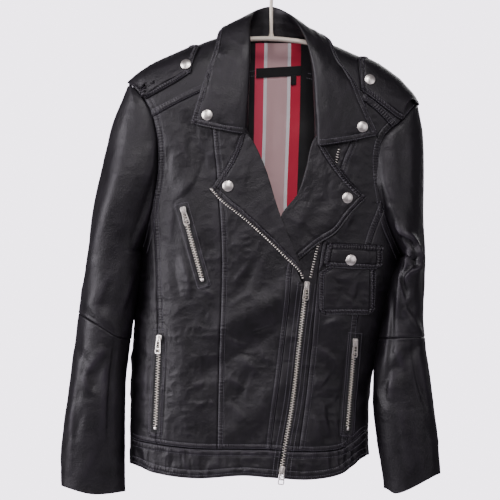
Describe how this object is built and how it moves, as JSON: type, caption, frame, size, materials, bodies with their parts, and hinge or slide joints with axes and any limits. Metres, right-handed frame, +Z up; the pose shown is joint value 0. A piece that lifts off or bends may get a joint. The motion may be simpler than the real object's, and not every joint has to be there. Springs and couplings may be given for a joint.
{
  "type": "leather biker jacket on clothes hanger",
  "caption": "Black leather biker jacket with folded lapels, snap-down collar, epaulettes, zips and striped neck lining, hanging open-necked on a slim cream hanger.",
  "frame": {"origin": "inside top of the hanger's hook, where it rests on a rail", "axes": "+Z up along the hanger's stem, -Y the way the jacket's front faces, +X towards the wearer's left"},
  "size_m": [0.5508, 0.1652, 0.7802],
  "materials": {
    "black_leather": "satin",
    "nickel": "polished",
    "zip_tape": "matte",
    "lining": "satin",
    "label": "matte",
    "hanger_plastic": "satin"
  },
  "bodies": {
    "jacket_and_hanger": {"back_panel": "black_leather", "yoke_right": "black_leather", "yoke_left": "black_leather", "front_right_side": "black_leather", "front_right_centre": "black_leather", "placket_right": "black_leather", "placket_left": "black_leather", "front_left": "black_leather", "side_right": "black_leather", "side_left": "black_leather", "waistband": "black_leather", "sleeve_right_upper": "black_leather", "sleeve_right_lower": "black_leather", "sleeve_left_upper": "black_leather", "sleeve_left_lower": "black_leather", "collar": "black_leather", "lapel_right": "black_leather", "lapel_left": "black_leather", "epaulette_right": "black_leather", "epaulette_left": "black_leather", "pocket_patch": "black_leather", "pocket_flap": "black_leather", "main_zip_chain": "nickel", "zip_half_left": "nickel", "zip_half_right": "nickel", "chest_zip_chain": "nickel", "hip_right_zip_chain": "nickel", "hip_left_zip_chain": "nickel", "slider_main_top": "nickel", "slider_main_bottom": "nickel", "slider_chest": "nickel", "slider_hip_right": "nickel", "slider_hip_left": "nickel", "snap_collar_right": "nickel", "snap_collar_left": "nickel", "snap_lapel_right": "nickel", "snap_lapel_left": "nickel", "snap_epaulette_right": "nickel", "snap_epaulette_left": "nickel", "snap_flap": "nickel", "main_zip_tape": "zip_tape", "lining_back": "lining", "neck_label": "label", "size_tab": "label", "hanger_bar": "hanger_plastic", "hanger_hook": "hanger_plastic"},
    "pull_main_top_body": {"pull_main_top": "nickel"},
    "pull_main_bottom_body": {"pull_main_bottom": "nickel"},
    "pull_chest_body": {"pull_chest": "nickel"},
    "pull_hip_right_body": {"pull_hip_right": "nickel"},
    "pull_hip_left_body": {"pull_hip_left": "nickel"}
  },
  "joints": [
    {"name": "pull_main_top_swing", "type": "hinge", "parent": "jacket_and_hanger", "child": "pull_main_top_body", "pos_m": [0.0517, -0.08467, -0.47128], "axis": [-0.9793, -0.1636, 0.1194], "range_deg": [0, 150]},
    {"name": "pull_main_bottom_swing", "type": "hinge", "parent": "jacket_and_hanger", "child": "pull_main_bottom_body", "pos_m": [0.01575, -0.0882, -0.73789], "axis": [-0.9927, -0.0536, 0.108], "range_deg": [0, 150]},
    {"name": "pull_chest_swing", "type": "hinge", "parent": "jacket_and_hanger", "child": "pull_chest_body", "pos_m": [-0.12768, -0.07042, -0.36278], "axis": [-0.9535, 0.1303, -0.2719], "range_deg": [0, 150]},
    {"name": "pull_hip_right_swing", "type": "hinge", "parent": "jacket_and_hanger", "child": "pull_hip_right_body", "pos_m": [-0.16362, -0.06446, -0.54884], "axis": [-0.8782, 0.477, 0.0354], "range_deg": [0, 150]},
    {"name": "pull_hip_left_swing", "type": "hinge", "parent": "jacket_and_hanger", "child": "pull_hip_left_body", "pos_m": [0.12243, -0.06552, -0.55465], "axis": [-0.9071, -0.4189, 0.0418], "range_deg": [0, 150]}
  ]
}
